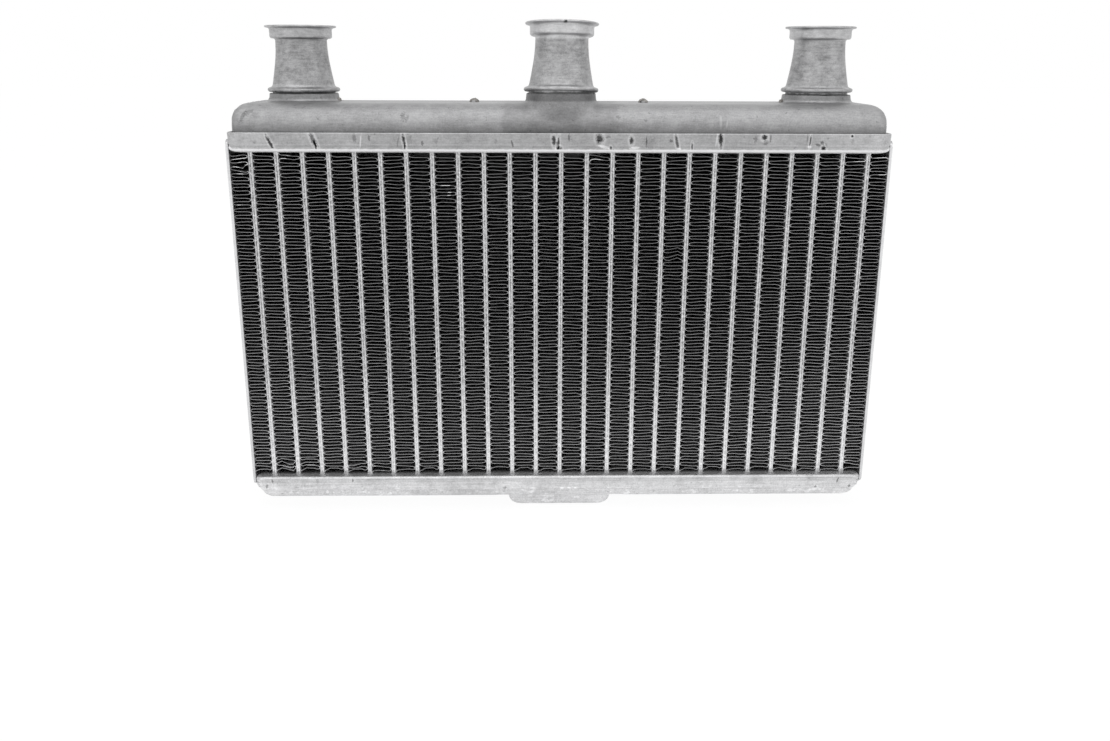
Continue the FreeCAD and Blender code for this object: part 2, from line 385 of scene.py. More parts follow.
def fin_finish():
    """Foil with bright cut edges and braze where it meets the tubes. Its depths are darkened with painted
    shade and lit toward the mouth and the bottom with painted light.
    """
    finish = Finish("fin_foil")
    soft = finish.noise(260, 2.0, 0.5)
    fine = finish.noise(1300, 2.0, 0.6)
    depth = finish.part("Y").size()
    z = finish.part("Z")
    edge = finish.step(depth, 20.05 * mm, 20.25 * mm)
    # Painted shade in the depths between the legs, with painted light toward the mouth, more of it toward the
    # bottom for the white floor's light, and lighter toward the outer columns.
    mouth = finish.step(depth + (soft - 0.5) * (3 * mm), 16.0 * mm, 20.4 * mm)
    low = 1.0 - finish.step(z, 20 * mm, 110 * mm)
    sides = finish.step(finish.part("X").size(), 50 * mm, 120 * mm)
    light = 0.044 + mouth * 0.072 + mouth * low * 0.14 + sides * 0.035
    # Painted shadow under the top header.
    light = light * (1.0 - finish.step(z, 146.5 * mm, 148.5 * mm) * 0.85)
    # The cut edges, lighter toward the bottom with painted light from the white floor.
    lit = 0.23 + (soft - 0.5) * 0.22 + (fine - 0.5) * 0.26 + low * 0.20 + sides * 0.09
    light = light + edge * (lit - light)
    braze = 1.0 - finish.step(finish.from_tube() + (fine - 0.5) * (0.5 * mm), 1.15 * mm, 1.65 * mm)
    light = light + braze * edge * 0.38
    light = light + marks_on(finish, glints)[1] * edge * 1.8
    return finish.metal(light, 0.5, fine, 0.08 * mm)


def neck_finish():
    """Turned and etched aluminium, mottled, with a paler cup, a darker rim, painted shade under the bead and
    a painted highlight above it.
    """
    finish = Finish("neck_aluminium")
    clouds = finish.noise(110, 3.0, 0.6, shift=(1, 4, 2))
    blots = finish.noise(420, 3.0, 0.7, stretch=(1, 1, 1.4))
    lines = finish.noise(420, 2.0, 0.5, stretch=(0.6, 0.6, 4))
    grain = finish.noise(2400, 2.0, 0.6)
    z = finish.part("Z")
    x = finish.part("X")
    light = 0.33 + (clouds - 0.5) * 0.32 + (blots - 0.5) * 0.36 + (lines - 0.5) * 0.24 + (grain - 0.5) * 0.24
    light = light + finish.step(x, -80 * mm, -40 * mm) * 0.025
    centre = 1.0 - finish.step(x.size(), 20 * mm, 30 * mm)
    light = light + finish.step(z, 191.8 * mm, 192.8 * mm) * (centre * 0.10 + 0.13)
    # Painted shade under the bead, over the spigot and the bead's underside, a little lower on the centre
    # neck.
    bead_shade_level = z - centre * (0.8 * mm) + (blots - 0.5) * (1.4 * mm)
    light = light * (0.30 + finish.step(bead_shade_level, 171.7 * mm, 172.3 * mm) * 0.70)
    light = light - finish.step(z, 196.7 * mm, 197.3 * mm) * 0.05
    # Painted highlight along the neck's foot, just above the bead.
    light = light + finish.line(z, 174.2 * mm, 1.0 * mm) * 0.09
    dark, pale = marks_on(finish, neck_marks)
    light = light * (1.0 - dark) + pale * 0.3
    return finish.metal(light, 0.45, blots * 1.0 + grain * 0.4, 0.06 * mm)


def lump_finish():
    """Rough dark weld metal."""
    finish = Finish("weld_metal")
    grain = finish.noise(1500, 3.0, 0.7)
    blots = finish.noise(700, 2.0, 0.6)
    light = 0.26 + (grain - 0.5) * 0.7 + (blots - 0.5) * 0.5
    finish.metal(light, 0.6, grain, 0.15 * mm, (1.05, 1.0, 0.94))
    return finish.set(Metallic=0.5)


def begin(name, add, **sizes):
    """Adds a primitive in world place, with nothing else selected, and opens it for editing."""
    bpy.ops.object.select_all(action="DESELECT")
    add(**sizes)
    piece = bpy.context.object
    piece.name = name
    bpy.ops.object.transform_apply()
    bpy.ops.object.mode_set(mode="EDIT")
    bpy.ops.mesh.select_all(action="SELECT")
    return piece


def end_edit():
    bpy.ops.object.mode_set(mode="OBJECT")


def block(name, low, high):
    """A box between two corners, open for editing."""
    low, high = Vector(low), Vector(high)
    return begin(name, bpy.ops.mesh.primitive_cube_add, size=1, location=(low + high) / 2, scale=high - low)


def pick(kind, test):
    """Selects the vertices, edges or faces of the piece being edited that pass the test."""
    bpy.ops.mesh.select_mode(type=kind)
    bpy.ops.mesh.select_all(action="DESELECT")
    mesh = bpy.context.edit_object.data
    shape = bmesh.from_edit_mesh(mesh)
    for part in {"VERT": shape.verts, "EDGE": shape.edges, "FACE": shape.faces}[kind]:
        if test(part):
            part.select_set(True)
    shape.select_flush_mode()
    bmesh.update_edit_mesh(mesh)


def middle(part):
    """The middle of an edge's two ends."""
    return (part.verts[0].co + part.verts[1].co) / 2


def activate(piece):
    bpy.ops.object.select_all(action="DESELECT")
    piece.select_set(True)
    bpy.context.view_layer.objects.active = piece


def modify(piece, kind, **settings):
    """Adds a modifier with its settings and applies it."""
    activate(piece)
    modifier = piece.modifiers.new(kind, kind)
    for key, value in settings.items():
        setattr(modifier, key, value)
    bpy.ops.object.modifier_apply(modifier=modifier.name)


def smooth(piece, angle=40):
    activate(piece)
    bpy.ops.object.shade_smooth_by_angle(angle=math.radians(angle))


def outward(piece, merge=0.001 * mm):
    """Merges doubles and turns every face outwards."""
    activate(piece)
    bpy.ops.object.mode_set(mode="EDIT")
    bpy.ops.mesh.select_all(action="SELECT")
    bpy.ops.mesh.remove_doubles(threshold=merge)
    bpy.ops.mesh.normals_make_consistent(inside=False)
    bpy.ops.object.mode_set(mode="OBJECT")


def join(first, others):
    activate(first)
    for other in others:
        other.select_set(True)
    bpy.ops.object.join()
    return first


def copy_of(piece, name, shift=(0, 0, 0), turn=(0, 0, 0), scale=(1, 1, 1)):
    """A copy with its own mesh, its place and turn settled in the mesh."""
    twin = piece.copy()
    twin.data = piece.data.copy()
    twin.name = name
    bpy.context.scene.collection.objects.link(twin)
    activate(twin)
    twin.location, twin.rotation_euler, twin.scale = shift, turn, scale
    bpy.ops.object.transform_apply()
    return twin


def discard(piece):
    bpy.data.objects.remove(piece)


def dress(piece, material, slot, *nodes):
    """Gives a piece its finish and its body, and hides the nodes that it stands for. Its slot argument is not
    used.
    """
    piece.data.materials.clear()
    piece.data.materials.append(material)
    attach(piece, "root")
    if nodes:
        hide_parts(*nodes)
    return piece


def arc(across, up, radius, start, end, steps):
    """Points of an arc about (across, up), from one angle in degrees to another."""
    angles = [math.radians(start + (end - start) * i / steps) for i in range(steps + 1)]
    return [(across + radius * math.cos(a), up + radius * math.sin(a)) for a in angles]


def grow(levels, x=0.0, y=0.0):
    """Extrudes the selected ring from level to level. A level is half a width, half a depth and a height."""
    for (wide, deep, low), (next_wide, next_deep, high) in zip(levels, levels[1:]):
        bpy.ops.mesh.extrude_region_move(TRANSFORM_OT_translate={"value": (0, 0, high - low)})
        bpy.ops.transform.resize(value=(next_wide / wide, next_deep / deep, 1), center_override=(x, y, high))


def rounded_ring(name, level, corner, steps=6):
    """A rounded rectangle of edges, as large and as high as the level says, open for editing."""
    wide, deep, height = level
    piece = begin(name, bpy.ops.mesh.primitive_plane_add, size=1, location=(0, 0, height))
    bpy.ops.transform.resize(value=(2 * wide, 2 * deep, 1), center_override=(0, 0, height))
    bpy.ops.mesh.bevel(offset=corner, segments=steps, affect="VERTICES")
    bpy.ops.mesh.delete(type="ONLY_FACE")
    bpy.ops.mesh.select_all(action="SELECT")
    return piece


def bowed_levels(wide, deep, low, high, shoulder, end_bow, steps=14):
    """Levels of a pressing, from its rim at low to its flat crown at high, up or down."""
    way = 1 if high > low else -1
    levels = [(wide, deep, low)]
    for i in range(steps + 1):
        climb = shoulder * math.sin(math.pi / 2 * i / steps)
        side = shoulder - math.sqrt(max(shoulder ** 2 - climb ** 2, 0))
        into = max(climb - (shoulder - end_bow), 0)
        end = end_bow - math.sqrt(max(end_bow ** 2 - into ** 2, 0))
        levels.append((wide - end, deep - side, high - way * (shoulder - climb)))
    return levels


def pressing(name, levels, corner):
    """A closed solid with the outside of a pressing."""
    piece = rounded_ring(name, levels[0], corner)
    bpy.ops.mesh.edge_face_add()
    bpy.ops.mesh.select_mode(type="FACE")
    bpy.ops.mesh.select_all(action="SELECT")
    grow(levels)
    end_edit()
    return piece


def drawn_skin(solid, additions):
    """Fuses solids and remakes their skin with an even mesh, for soft blends."""
    for addition in additions:
        modify(solid, "BOOLEAN", operation="UNION", solver="EXACT", object=addition)
        discard(addition)
    modify(solid, "REMESH", mode="VOXEL", voxel_size=skin_grain)


def soften(test, times):
    """Smooths the vertices of the piece being edited that pass the test."""
    pick("VERT", test)
    bpy.ops.mesh.vertices_smooth(factor=0.5, repeat=times)


def slice_off(height, above):
    """Cuts the selected faces level at a height and clears what is above or below it."""
    bpy.ops.mesh.bisect(plane_co=(0, 0, height), plane_no=(0, 0, 1), clear_outer=above, clear_inner=not above)


def neck_places():
    """Middle and rim height of each neck, by the name of its node."""
    places = {}
    for node in ("neck_left", "neck_centre", "neck_right"):
        low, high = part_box(node)
        x = (low.x + high.x) / 2 + neck_drift[node]
        places[node] = Vector((x, (low.y + high.y) / 2, low.z + spigot_reach))
    return places


def top_tank():
    """The drawn top tank with its three collars."""
    low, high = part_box("top_tank")
    rim = high.z
    crown = rim - collar_height
    radius = collar_bore + collar_sheet
    levels = bowed_levels(high.x, high.y, low.z, crown, tank_shoulder, tank_end_bow)
    tank = pressing("tank_top", levels, tank_corner)
    collars = []
    places = list(neck_places().values())
    tops = [rim + lift for lift in collar_lift.values()]
    for place, top in zip(places, tops):
        collar = begin("collar", bpy.ops.mesh.primitive_cylinder_add, vertices=ring_flats, radius=radius,
                       depth=top - crown + collar_root,
                       location=(place.x, place.y, (top + crown - collar_root) / 2))
        pick("FACE", lambda face: face.normal.z < -0.9)
        bpy.ops.transform.resize(value=(1.06, 1.06, 1), center_override=(place.x, place.y, 0))
        end_edit()
        collars.append(collar)
    drawn_skin(tank, collars)
    bpy.ops.object.mode_set(mode="EDIT")

    def near_foot(vert, within, above):
        """Whether a vertex is near the circle where a collar rises from the crown."""
        off = min(abs((vert.co.xy - place.xy).length - radius) for place in places)
        return off < within and vert.co.z < crown + above

    soften(lambda vert: near_foot(vert, 2.4 * mm, 0.6 * mm) and vert.co.z > low.z + 4 * mm, times=2)
    soften(lambda vert: near_foot(vert, 5.0 * mm, 0.2 * mm) and vert.co.y < -8 * mm, times=6)
    soften(lambda vert: vert.co.z > low.z + 1.5 * mm and not near_foot(vert, 1.6 * mm, 9 * mm), times=2)
    for place, top in zip(places, tops):
        pick("FACE", lambda face: face.verts[0].co.z > crown + 1 * mm
             and abs(face.verts[0].co.x - place.x) < 2 * radius)
        slice_off(top - collar_trim, above=True)
    bpy.ops.mesh.select_all(action="SELECT")
    slice_off(low.z + skin_trim, above=False)
    end_edit()
    gather(tank, "crumpled", lambda vert: vert.co.x < high.x * -0.93 and vert.co.z > low.z + 9 * mm)
    wave(tank, "crumple", 1.6 * mm, 0.5 * mm, "NORMAL", "crumpled")
    outward(tank)
    modify(tank, "SOLIDIFY", thickness=collar_sheet, offset=-1)
    smooth(tank, 50)
    return tank


def bottom_tank():
    """The shallow bottom tank with its drawn foot."""
    low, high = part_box("bottom_tank")
    floor = low.z + foot_drop
    pan_levels = bowed_levels(high.x, high.y, high.z, floor, pan_shoulder, pan_end_bow)
    pan = pressing("tank_bottom", pan_levels, tank_corner)
    outward(pan)
    foot_levels = bowed_levels(foot_half_width, foot_half_depth, floor + 2 * mm, low.z,
                               foot_shoulder, foot_end_bow)
    foot = pressing("foot", foot_levels, 3 * mm)
    outward(foot)
    drawn_skin(pan, [foot])
    bpy.ops.object.mode_set(mode="EDIT")
    soften(lambda vert: abs(vert.co.x) < foot_half_width + 5 * mm and vert.co.z < floor + 1 * mm, times=6)
    bpy.ops.mesh.select_all(action="SELECT")
    slice_off(high.z - skin_trim, above=True)
    end_edit()
    outward(pan)
    modify(pan, "SOLIDIFY", thickness=tank_sheet, offset=-1)
    smooth(pan, 50)
    return pan


def header(name, node, plate_down):
    """A header: a pressed tray with creased bends, its plate below or above its flange."""
    low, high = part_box(node)
    wide, deep = high.x, high.y
    way, plate, rim = (1, low.z, high.z) if plate_down else (-1, high.z, low.z)

    def level(inward, height, end_inward=None):
        """The tray's outline a distance in from its widest, at its ends as well unless they differ."""
        ends = inward if end_inward is None else end_inward
        return wide - ends, deep - inward, height

    levels = []
    for along, up in arc(0, header_front_bend, header_front_bend, -90, 0, 7):
        left_over = 1 - along / header_front_bend
        levels.append(level(flange_lean + header_front_bend * left_over, plate + way * up,
                            flange_lean + header_end_bend * left_over))
    levels += [
        level(flange_lean + crease_depth, plate + way * crease_height),
        level(flange_lean, plate + way * (crease_height + 0.25 * mm)),
        level(0.05 * mm, rim - way * (edge_round + 0.2 * mm)),
        level(0.0, rim - way * edge_round),
        level(edge_round, rim),
    ]
    tray = rounded_ring(name, levels[0], header_corner)
    bpy.ops.mesh.edge_face_add()
    pick("EDGE", lambda edge: True)
    bpy.ops.mesh.extrude_edges_move()
    grow(levels)
    end_edit()
    outward(tray)
    modify(tray, "SOLIDIFY", thickness=header_sheet, offset=-1)
    if not plate_down:
        bpy.ops.object.mode_set(mode="EDIT")
        for reach, upward in corner_cuts:
            pick("VERT", lambda vert: vert.co.z < rim + 1 * mm + upward and abs(vert.co.x) > wide - reach)
            bpy.ops.transform.translate(value=(0, 0, upward))
        end_edit()
    smooth(tray, 35)
    return tray


def flat_tubes():
    """Flat tubes with round noses, a seam down each nose and a fillet of braze at each header."""
    plate_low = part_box("bottom_header")[1].z
    plate_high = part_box("top_header")[0].z
    deep = tube_half_depth
    tubes = []
    for number in range(1, tube_count + 1):
        low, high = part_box(f"tube_{number:02d}")
        radius = (high.x - low.x) / 2
        x = (high.x + low.x) / 2
        swells = [(0.0, low.z), (0.0, plate_low), (braze_fillet, plate_low + 0.02 * mm),
                  (braze_fillet / 4, plate_low + braze_fillet), (0.0, plate_low + 2.5 * braze_fillet),
                  (0.0, plate_high - 2.5 * braze_fillet), (braze_fillet / 4, plate_high - braze_fillet),
                  (braze_fillet, plate_high - 0.02 * mm), (0.0, plate_high), (0.0, high.z)]
        tube = begin(f"flat_tube_{number:02d}", bpy.ops.mesh.primitive_circle_add, vertices=tube_flats,
                     radius=radius, location=(x, 0, low.z), fill_type="NOTHING")
        for side in (-1, 1):
            pick("VERT", lambda vert: vert.co.y * side > 0.01 * mm)
            bpy.ops.transform.translate(value=(0, side * (deep - radius), 0))
            pick("VERT", lambda vert: vert.co.y * side > deep - 0.01 * mm)
            bpy.ops.transform.translate(value=(0, -side * nose_groove, 0))
        bpy.ops.mesh.select_all(action="SELECT")
        grow([(radius + swell, deep + swell, z) for swell, z in swells], x)
        end_edit()
        outward(tube)
        modify(tube, "SOLIDIFY", thickness=tube_wall, offset=-1)
        smooth(tube, 35)
        tubes.append(tube)
    return tubes


def one_fold(wide, deep):
    """Two legs of foil that meet in a point at the right and start from one at the left."""
    half = wide / 2
    quick, slow, flat = half - 0.28 * mm, half - 1.05 * mm, half * 0.42
    leg = [(-half, 0.0), (-quick, 0.28), (-slow, 0.45), (-flat, 0.49),
           (flat, 0.51), (slow, 0.55), (quick, 0.72)]
    points = [(x, share * leg_pitch) for x, share in leg]
    points += [(-x, (share + 1) * leg_pitch) for x, share in leg] + [(-half, 2 * leg_pitch)]
    (x0, z0), (x1, z1) = points[:2]
    fold = begin("fold", bpy.ops.mesh.primitive_plane_add, size=1, location=((x0 + x1) / 2, 0, 0))
    bpy.ops.transform.resize(value=(x1 - x0, deep, 1), center_override=((x0 + x1) / 2, 0, 0))
    pick("EDGE", lambda edge: all(vert.co.x > x1 - 0.01 * mm for vert in edge.verts))
    bpy.ops.transform.translate(value=(0, 0, z1))
    for (x, z), (next_x, next_z) in zip(points[1:], points[2:]):
        bpy.ops.mesh.extrude_region_move(TRANSFORM_OT_translate={"value": (next_x - x, 0, next_z - z)})
    for side in (-1, 1):
        bpy.ops.mesh.select_all(action="SELECT")
        bpy.ops.mesh.bisect(plane_co=(0, side * (deep / 2 - 2.2 * mm), 0), plane_no=(0, 1, 0))
    end_edit()
    return fold


def clouds(name, size):
    """A texture of clouds of the given size, for pushing vertices about."""
    texture = bpy.data.textures.get(name) or bpy.data.textures.new(name, "CLOUDS")
    texture.noise_scale = size
    return texture


def wave(piece, name, size, strength, direction, group=""):
    """Pushes the vertices of a piece, or of one group of them, about by clouds."""
    modify(piece, "DISPLACE", texture=clouds(name, size), texture_coords="LOCAL", direction=direction,
           strength=strength, mid_level=0.5, vertex_group=group)


def gather(piece, name, test):
    """Puts the vertices that pass the test in a new group."""
    activate(piece)
    bpy.ops.object.mode_set(mode="EDIT")
    pick("VERT", test)
    bpy.ops.object.vertex_group_assign_new()
    bpy.ops.object.mode_set(mode="OBJECT")
    piece.vertex_groups[-1].name = name


def bend_legs(column, x, z, reach, slide, lift):
    """Bends the front of the legs near a place: pulls them forward and lifts or drops them."""
    activate(column)
    bpy.ops.object.mode_set(mode="EDIT")
    pick("VERT", lambda vert: vert.co.y < leg_front and abs(vert.co.z - z) < reach
         and abs(vert.co.x - x) < 2 * mm)
    bpy.ops.transform.translate(value=(0, slide, lift))
    bpy.ops.object.mode_set(mode="OBJECT")


def fin_columns():
    """Folded foil between the tubes, a hundred uneven legs to a column."""
    low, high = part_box("fin_13")
    wide = high.x - low.x
    fold = one_fold(wide, high.y - low.y)
    modify(fold, "ARRAY", count=leg_count // 2, use_relative_offset=False, use_constant_offset=True,
           constant_offset_displace=(0, 0, 2 * leg_pitch), use_merge_vertices=True, merge_threshold=0.01 * mm)
    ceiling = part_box("top_header")[0].z
    columns = []
    for number in range(1, tube_count + 2):
        low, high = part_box(f"fin_{number:02d}")
        x_middle, half = (low.x + high.x) / 2, (high.x - low.x) / 2
        stretch = random.uniform(0.991, 0.999) + (0.003 if number > 12 else 0.0)
        bottom = ceiling - first_leg - random.uniform(0, 0.7 * mm) - leg_count * leg_pitch * stretch
        column = copy_of(fold, f"fin_column_{number:02d}", (x_middle, 0, bottom),
                         scale=(2 * half / wide, 1, stretch))
        lowest = bottom + leg_pitch * 0.75
        bpy.ops.object.mode_set(mode="EDIT")
        pick("VERT", lambda vert: vert.co.z < lowest)
        bpy.ops.transform.translate(value=(0, 0, -0.4 * mm))
        pick("VERT", lambda vert: vert.co.z < lowest and abs(vert.co.x - x_middle) < 2 * mm)
        bpy.ops.transform.translate(value=(0, 0, random.uniform(0.2 * mm, 0.8 * mm)))
        end_edit()
        gather(column, "free", lambda vert: abs(vert.co.x - x_middle) < half - 0.2 * mm)
        wave(column, "slow_wave", 5.0 * mm, wave_height, "Z", "free")
        wave(column, "quick_wave", 1.9 * mm, wave_height * 0.7, "Z", "free")
        wave(column, "edge_wave", 1.3 * mm, 0.35 * mm, "Y")
        for x, z, reach, slide, lift in bent_legs:
            if low.x < x * mm < high.x:
                bend_legs(column, x * mm, z * mm, reach * mm, slide * mm, lift * mm)
        modify(column, "SOLIDIFY", thickness=foil, offset=0)
        smooth(column, 50)
        columns.append(column)
    discard(fold)
    return columns


def neck_profile():
    """Radius and height of a neck's outside and inside, up from the spigot and back down."""
    outside = [(12.3, -5.5), (12.3, 0.25)]
    outside += arc(13.35, 1.05, 0.85, -90, 62, 8)
    outside += [(12.8, 2.15), (12.4, 2.45), (12.15, 3.1)]
    outside += [(11.75, 5.2), (11.25, 8.0), (10.75, 11.0), (10.35, 14.0), (10.1, 17.0), (10.0, 20.0)]
    outside += arc(10.9, 20.35, 0.9, 180, 100, 3)
    outside += arc(11.2, 22.15, 0.9, -80, 0, 5)
    outside += [(12.1, 24.3)]
    outside += arc(13.0, 24.5, 0.9, 180, 90, 4)
    outside += arc(13.5, 25.9, 0.4, -90, 90, 6)
    inside = arc(11.4, 25.8, 0.5, 90, 180, 4)
    inside += [(10.9, 22.6), (10.5, 22.4), (9.2, 22.4), (8.8, 22.0), (8.8, 16.0), (11.1, 0.0), (11.1, -5.5)]
    return [(radius * mm, height * mm) for radius, height in outside + inside]


def necks():
    """Three turned necks with bead, cup and clamp flange. The centre one leans back."""
    profile = neck_profile()
    base = begin("neck_pattern", bpy.ops.mesh.primitive_circle_add, vertices=ring_flats,
                 radius=profile[0][0], location=(0, 0, profile[0][1]), fill_type="NOTHING")
    grow([(radius, radius, height) for radius, height in profile])
    bottom = profile[0][1]
    pick("EDGE", lambda edge: all(abs(vert.co.z - bottom) < 0.01 * mm for vert in edge.verts))
    bpy.ops.mesh.bridge_edge_loops()
    end_edit()
    outward(base)
    smooth(base, 35)
    made = []
    for node, place in neck_places().items():
        lean, size = (0, 0, 0), (1, 1, side_neck_height)
        if node == "neck_centre":
            lean = (math.radians(-centre_lean), math.radians(centre_side_lean), 0)
            size = centre_neck_size
        place = place + Vector((0, 0, neck_stand[node]))
        made.append((copy_of(base, node.replace("neck", "coolant_neck"), place, lean, size), node))
    discard(base)
    return made


def side_plates():
    """Thin plates that close the core's sides, their edges slightly rounded."""
    low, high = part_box("side_plates")
    plates = []
    for name, x0, x1 in (("side_plate_left", low.x, low.x + plate_sheet),
                         ("side_plate_right", high.x - plate_sheet, high.x)):
        plate = block(name, (x0, low.y, low.z), (x1, high.y, high.z))
        pick("EDGE", lambda edge: abs(edge.verts[0].co.x - edge.verts[1].co.x) > 1 * mm)
        bpy.ops.mesh.bevel(offset=2.5 * mm, segments=6, affect="EDGES")
        pick("EDGE", lambda edge: abs(edge.verts[0].co.x - edge.verts[1].co.x) < 0.01 * mm)
        bpy.ops.mesh.bevel(offset=0.3 * mm, segments=2, affect="EDGES")
        end_edit()
        smooth(plate, 40)
        plates.append(plate)
    return plates


def baffles():
    """Walls inside the top tank, each with a tab through the crown."""
    low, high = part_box("baffles")
    right = high.x + baffle_drift
    made = []
    for name, x0, x1 in (("baffle_left", low.x, low.x + baffle_sheet),
                         ("baffle_right", right - baffle_sheet, right)):
        wall = block(name, (x0, -baffle_half_depth, low.z), (x1, baffle_half_depth, high.z - baffle_top))
        pick("EDGE", lambda edge: middle(edge).z > high.z - 3 * mm and abs(middle(edge).y) > 19 * mm)
        bpy.ops.mesh.bevel(offset=8 * mm, segments=6, affect="EDGES")
        end_edit()
        tab = block("tab", (x0, -tab_half_length, high.z - 4 * mm), (x1, tab_half_length, high.z - 0.2 * mm))
        bpy.ops.mesh.bevel(offset=0.2 * mm, segments=2, affect="EDGES")
        end_edit()
        join(wall, [tab])
        smooth(wall, 40)
        made.append(wall)
    return made


def lump(name, place, size):
    """A rough lump of weld metal."""
    piece = begin(name, bpy.ops.mesh.primitive_cube_add, size=1, location=place, scale=size)
    bpy.ops.mesh.subdivide(number_cuts=7, smoothness=0.8)
    end_edit()
    wave(piece, "lump_wave", 0.8 * mm, 0.6 * mm, "NORMAL")
    smooth(piece, 60)
    return piece


def seen_ray(nodes, links):
    """1 for rays from the camera and for those that metal or glass reflect or pass, else 0."""
    path = nodes.new("ShaderNodeLightPath")
    total = path.outputs["Is Camera Ray"]
    for name in ("Is Glossy Ray", "Is Transmission Ray"):
        either = nodes.new("ShaderNodeMath")
        either.operation = "MAXIMUM"
        links.new(total, either.inputs[0])
        links.new(path.outputs[name], either.inputs[1])
        total = either.outputs[0]
    return total


def floor():
    """A white floor that keeps the object's shadow."""
    piece = begin("floor", bpy.ops.mesh.primitive_plane_add, size=12, location=(0, 0, 0))
    end_edit()
    finish = Finish("white_floor")
    finish.set(Base_Color=(0.86, 0.86, 0.86, 1), Roughness=0.9)
    nodes, links = finish.tree.nodes, finish.tree.links
    glow = nodes.new("ShaderNodeEmission")
    glow.inputs["Strength"].default_value = floor_glow
    mixed = nodes.new("ShaderNodeMixShader")
    share = Wire(finish, seen_ray(nodes, links)) * floor_glow_share
    links.new(share.socket, mixed.inputs[0])
    links.new(finish.shader.outputs[0], mixed.inputs[1])
    links.new(glow.outputs[0], mixed.inputs[2])
    links.new(mixed.outputs[0], nodes["Material Output"].inputs["Surface"])
    piece.data.materials.append(finish.material)


def world():
    """White where the camera or metal sees it, and a plain soft light on everything."""
    made = bpy.data.worlds.new("studio")
    bpy.context.scene.world = made
    made.use_nodes = True
    nodes, links = made.node_tree.nodes, made.node_tree.links
    strength = nodes.new("ShaderNodeMapRange")
    links.new(seen_ray(nodes, links), strength.inputs["Value"])
    strength.inputs["To Min"].default_value = soft_light
    strength.inputs["To Max"].default_value = seen_light
    nodes["Background"].inputs["Color"].default_value = (1, 1, 1, 1)
    links.new(strength.outputs[0], nodes["Background"].inputs["Strength"])


def lamp(name, place, aim, size, power):
    """A square lamp turned towards a point."""
    bpy.ops.object.light_add(type="AREA", location=place)
    light = bpy.context.object
    light.name = name
    light.data.size = size
    light.data.energy = power
    light.rotation_euler = (Vector(aim) - Vector(place)).to_track_quat("-Z", "Y").to_euler()


def lights():
    """One large lamp overhead and one on each side, all aimed at the core's middle."""
    core = (0, 0, 0.1)
    lamp("top_softbox", (0, -0.35, 1.1), core, size=1.0, power=3.0)
    lamp("left_softbox", (-1.0, -0.8, 0.7), core, size=0.8, power=1.2)
    lamp("right_softbox", (1.0, -0.8, 0.7), core, size=0.8, power=1.2)


def camera():
    """The photograph's view: from in front and a little above."""
    bpy.ops.object.camera_add(location=camera_place)
    eye = bpy.context.object
    eye.data.sensor_width = 36
    eye.data.lens = camera_lens
    level = math.radians(90 - camera_tilt)
    turn = Matrix.Rotation(camera_yaw, 4, "Z") @ Matrix.Rotation(level, 4, "X")
    eye.rotation_euler = (turn @ Matrix.Rotation(camera_roll, 4, "Z")).to_euler()
    bpy.context.scene.camera = eye


# Marks on the front of the top header, as x, z, length, width, turn in degrees and strength
header_marks = [
    (-111.1, 153.8, 4.2, 0.9, -24, 0.85), (-112.3, 155.4, 1.6, 0.5, -10, 0.4),
    (-94.5, 154.6, 4.6, 1.3, -20, 0.85), (-94.0, 153.0, 2.6, 0.6, -16, 0.8),
    (-79.0, 155.7, 2.4, 1.2, 0, 0.38), (-76.7, 154.3, 4.4, 0.5, 8, -0.5), (-73.4, 155.7, 2.2, 0.9, 0, 0.42),
    (-60.2, 154.7, 3.8, 0.9, -8, 0.9), (-59.9, 152.4, 2.4, 0.6, 4, 0.85), (-62.5, 154.2, 3.4, 0.5, 10, 0.3),
    (-58.1, 155.1, 3.4, 2.4, 0, 0.22), (-53.2, 153.8, 1.8, 0.9, 0, 0.5), (-48.3, 154.6, 1.6, 1.6, 0, 0.2),
    (-25.1, 154.5, 1.4, 1.0, 0, 0.2), (-18.9, 153.7, 2.6, 0.6, -14, 0.55),
    (-2.9, 154.8, 3.2, 1.1, -8, 0.8), (-1.4, 153.1, 4.0, 0.9, 6, 0.85), (-0.8, 151.8, 1.4, 1.3, 0, 0.8),
    (2.9, 156.0, 2.2, 0.9, 0, 0.5), (14.6, 155.8, 2.6, 2.0, -10, 0.8), (13.9, 154.2, 1.6, 1.6, 0, 0.4),
    (18.0, 156.2, 0.8, 1.6, 0, 0.35), (16.5, 152.4, 1.0, 4.2, 14, -0.6), (18.9, 152.0, 1.1, 0.7, 0, 0.85),
    (26.8, 154.9, 2.0, 1.2, 0, 0.85), (28.2, 152.2, 0.9, 3.4, -4, -0.7), (32.6, 154.8, 3.2, 0.6, 0, 0.5),
    (33.6, 154.0, 3.6, 4.2, 0, 0.18), (42.0, 154.9, 1.0, 1.3, 20, 0.5), (44.3, 154.3, 4.2, 0.9, -12, 0.7),
    (45.2, 151.8, 0.9, 1.8, 0, -0.6), (50.2, 152.7, 2.0, 0.6, 0, 0.65), (61.1, 155.6, 3.4, 1.2, -6, 0.9),
    (61.3, 152.5, 1.8, 0.8, 0, 0.55), (59.5, 155.0, 4.0, 0.5, 6, -0.35), (74.6, 155.9, 2.4, 1.3, 0, 0.32),
    (78.0, 156.2, 1.5, 1.5, 0, 0.9), (78.5, 154.4, 1.7, 1.6, 0, 0.45), (80.3, 155.9, 2.6, 0.6, 0, 0.45),
    (94.5, 155.8, 2.8, 0.5, 0, 0.4), (95.7, 154.9, 3.0, 0.5, 4, 0.7), (95.6, 152.7, 0.8, 1.6, 0, -0.5),
    (100.4, 154.2, 1.3, 1.3, 0, 0.6), (99.0, 153.4, 0.8, 2.0, 20, 0.5), (101.1, 152.0, 1.6, 1.3, 0, 0.95),
    (102.0, 153.4, 1.8, 0.6, -30, 0.5), (111.7, 156.8, 0.8, 0.8, 0, 0.95), (112.1, 155.0, 2.0, 1.2, 0, 0.2),
]

